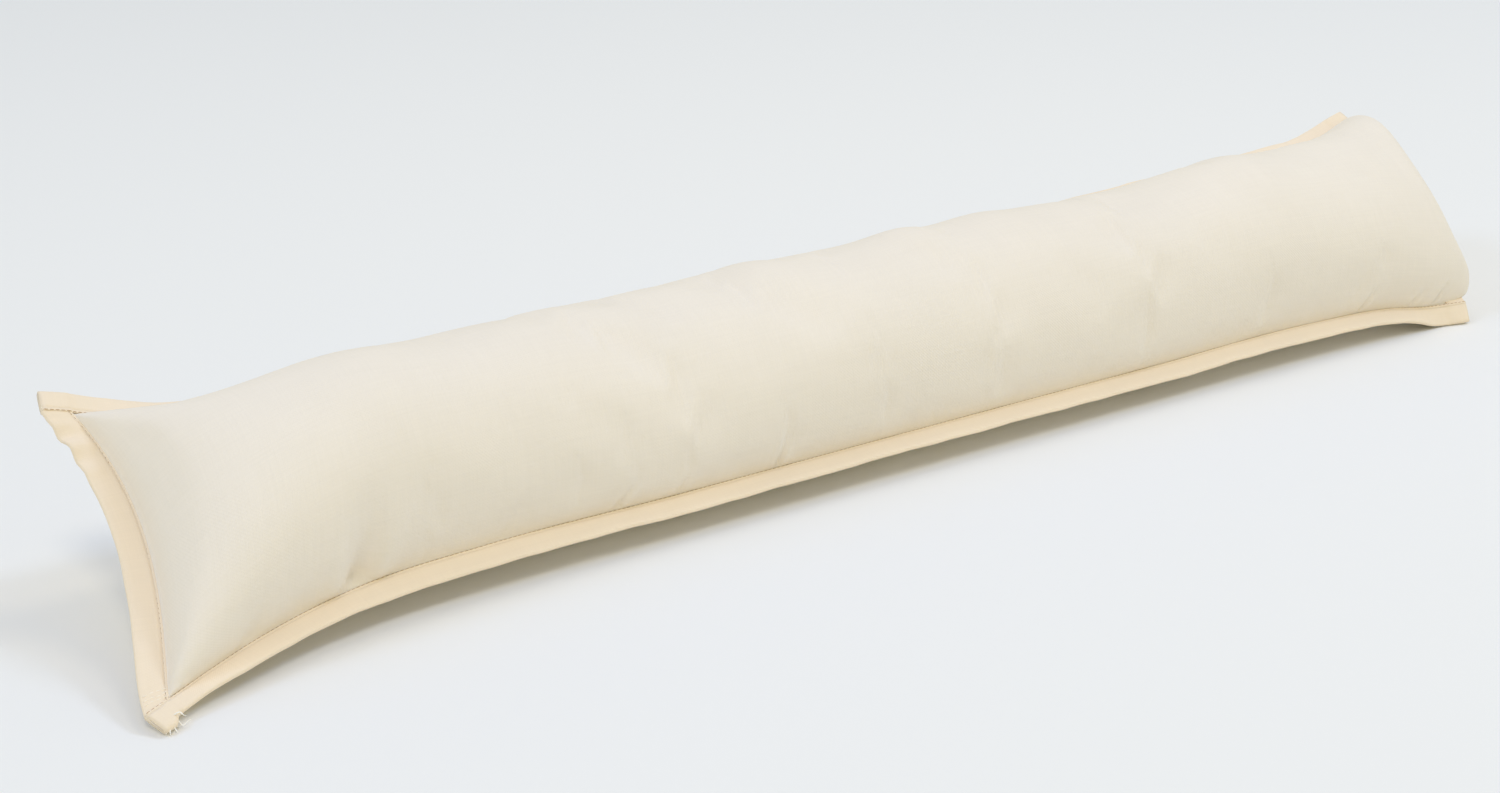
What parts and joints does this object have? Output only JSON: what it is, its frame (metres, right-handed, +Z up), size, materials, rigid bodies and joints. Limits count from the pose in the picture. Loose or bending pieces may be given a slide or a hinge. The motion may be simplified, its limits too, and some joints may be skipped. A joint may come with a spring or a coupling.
{
  "type": "draught excluder",
  "caption": "Long stuffed cotton cushion with folded tape bound over its edge, laid on the floor against the gap under a door",
  "frame": {"origin": "on the floor, under the middle of the cushion's box", "axes": "+X runs along the cushion, -Y is the side whose seam is low, +Z is up"},
  "size_m": [0.9138, 0.1698, 0.1145],
  "materials": {
    "calico_panel": "matte plain weave",
    "cotton_tape": "matte fine weave"
  },
  "bodies": {
    "root": {"filled_cover": "calico_panel", "binding_front": "cotton_tape", "binding_back": "cotton_tape", "binding_left": "cotton_tape", "binding_right": "cotton_tape"}
  },
  "joints": []
}
